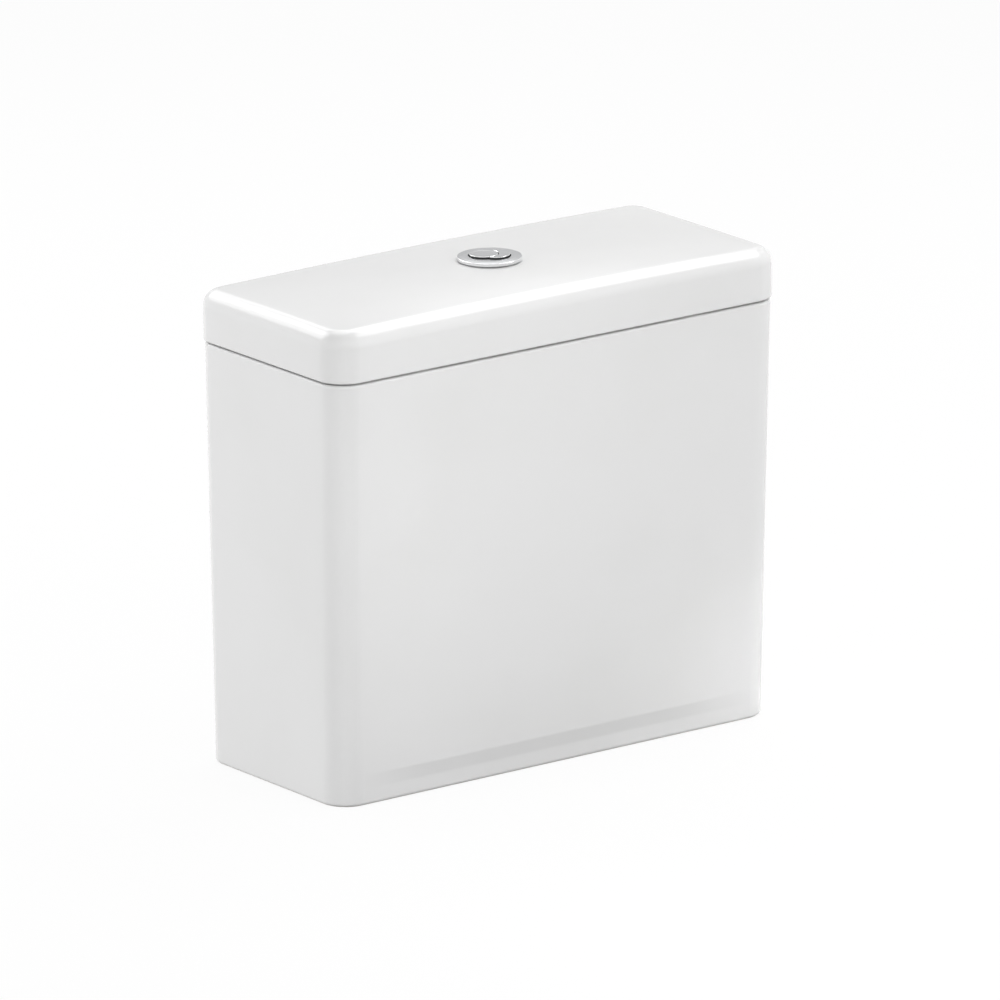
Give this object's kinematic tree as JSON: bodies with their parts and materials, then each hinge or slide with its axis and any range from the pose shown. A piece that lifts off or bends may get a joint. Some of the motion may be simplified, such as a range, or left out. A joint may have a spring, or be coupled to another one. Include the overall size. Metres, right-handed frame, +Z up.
{
  "type": "toilet cistern",
  "caption": "Glazed close-coupled toilet cistern with a domed lift-off lid, a split chrome dual-flush button, a lever-worked flush valve and a float fill valve.",
  "frame": {"origin": "middle of the foot plane that the cistern stands on", "axes": "+Z up, -Y out of the front face, +X along the width to the right seen from the front"},
  "size_m": [0.4, 0.175, 0.3641],
  "materials": {
    "glaze": "white glaze",
    "chrome": "polished",
    "steel": "drawn",
    "white_plastic": "moulded",
    "grey_plastic": "moulded",
    "blue_plastic": "moulded",
    "slate_plastic": "moulded",
    "green_plastic": "moulded",
    "black_rubber": "soft",
    "red_rubber": "soft",
    "clear_rubber": "soft"
  },
  "bodies": {
    "tank": {"cistern_tank": "glaze", "lid_buffers": "clear_rubber", "flush_valve_base": "white_plastic", "base_seal": "black_rubber", "back_nut": "white_plastic", "coupling_gasket": "black_rubber", "valve_tower": "white_plastic", "actuator_bridge": "slate_plastic", "full_lever_pin": "steel", "half_lever_pin": "steel", "inlet_riser": "white_plastic", "inlet_washer": "black_rubber", "inlet_lock_nut": "white_plastic", "inlet_filter": "green_plastic", "fill_valve_head": "slate_plastic", "valve_diaphragm": "black_rubber", "fill_valve_cap": "white_plastic", "float_lever_pin": "steel", "silencer_tube": "grey_plastic"},
    "lid": {"cistern_lid": "glaze", "button_gasket": "black_rubber", "button_bezel": "chrome", "button_sleeve": "white_plastic", "sleeve_nut": "white_plastic", "full_button_spring": "steel", "half_button_spring": "steel"},
    "full_button": {"full_flush_button": "chrome", "full_flush_rod": "white_plastic"},
    "half_button": {"half_flush_button": "chrome", "half_flush_rod": "blue_plastic"},
    "stem": {"overflow_stem": "grey_plastic", "bell_seal": "red_rubber", "bell_float": "white_plastic", "lift_crosshead": "slate_plastic"},
    "full_lever": {"full_flush_lever": "white_plastic"},
    "half_lever": {"half_flush_lever": "blue_plastic"},
    "half_valve": {"half_flush_link": "blue_plastic", "half_flush_plunger": "blue_plastic", "plunger_seal": "red_rubber"},
    "float": {"float_cup": "white_plastic", "float_adjust_rod": "green_plastic"},
    "float_arm": {"float_lever": "slate_plastic"}
  },
  "joints": [
    {"name": "lid_lift", "type": "slide", "parent": "tank", "child": "lid", "axis": [0, 0, 1], "range_m": [0, 0.12]},
    {"name": "full_press", "type": "slide", "parent": "lid", "child": "full_button", "axis": [0, 0, -1], "range_m": [0, 0.006], "stiffness_N_per_m": 250, "springref_m": -0.006, "deforming": ["full_button_spring"]},
    {"name": "half_press", "type": "slide", "parent": "lid", "child": "half_button", "axis": [0, 0, -1], "range_m": [0, 0.006], "stiffness_N_per_m": 250, "springref_m": -0.006, "deforming": ["half_button_spring"]},
    {"name": "full_lever_turn", "type": "hinge", "parent": "tank", "child": "full_lever", "pos_m": [0.008, 0.00658, 0.26241], "axis": [0, -1, 0], "range_deg": [0, 24.31]},
    {"name": "stem_lift", "type": "slide", "parent": "tank", "child": "stem", "axis": [0, 0, 1], "range_m": [0, 0.0136]},
    {"name": "half_lever_turn", "type": "hinge", "parent": "tank", "child": "half_lever", "pos_m": [-0.008, -0.00658, 0.26241], "axis": [0, 1, 0], "range_deg": [0, 24.31]},
    {"name": "half_valve_lift", "type": "slide", "parent": "tank", "child": "half_valve", "axis": [0, 0, 1], "range_m": [0, 0.01771]},
    {"name": "float_rise", "type": "slide", "parent": "tank", "child": "float", "axis": [0, 0, 1], "range_m": [0, 0.012]},
    {"name": "float_arm_turn", "type": "hinge", "parent": "tank", "child": "float_arm", "pos_m": [0.134, 0, 0.2765], "axis": [0, 1, 0], "range_deg": [0, 16.7]}
  ],
  "couplings": [
    {"joint": "full_lever_turn", "follows": "full_press", "rad_per_m": 70.7},
    {"joint": "stem_lift", "follows": "full_press", "ratio": 2.2639},
    {"joint": "half_lever_turn", "follows": "half_press", "rad_per_m": 70.7},
    {"joint": "half_valve_lift", "follows": "half_press", "ratio": 2.95},
    {"joint": "float_arm_turn", "follows": "float_rise", "rad_per_m": 24.288}
  ]
}
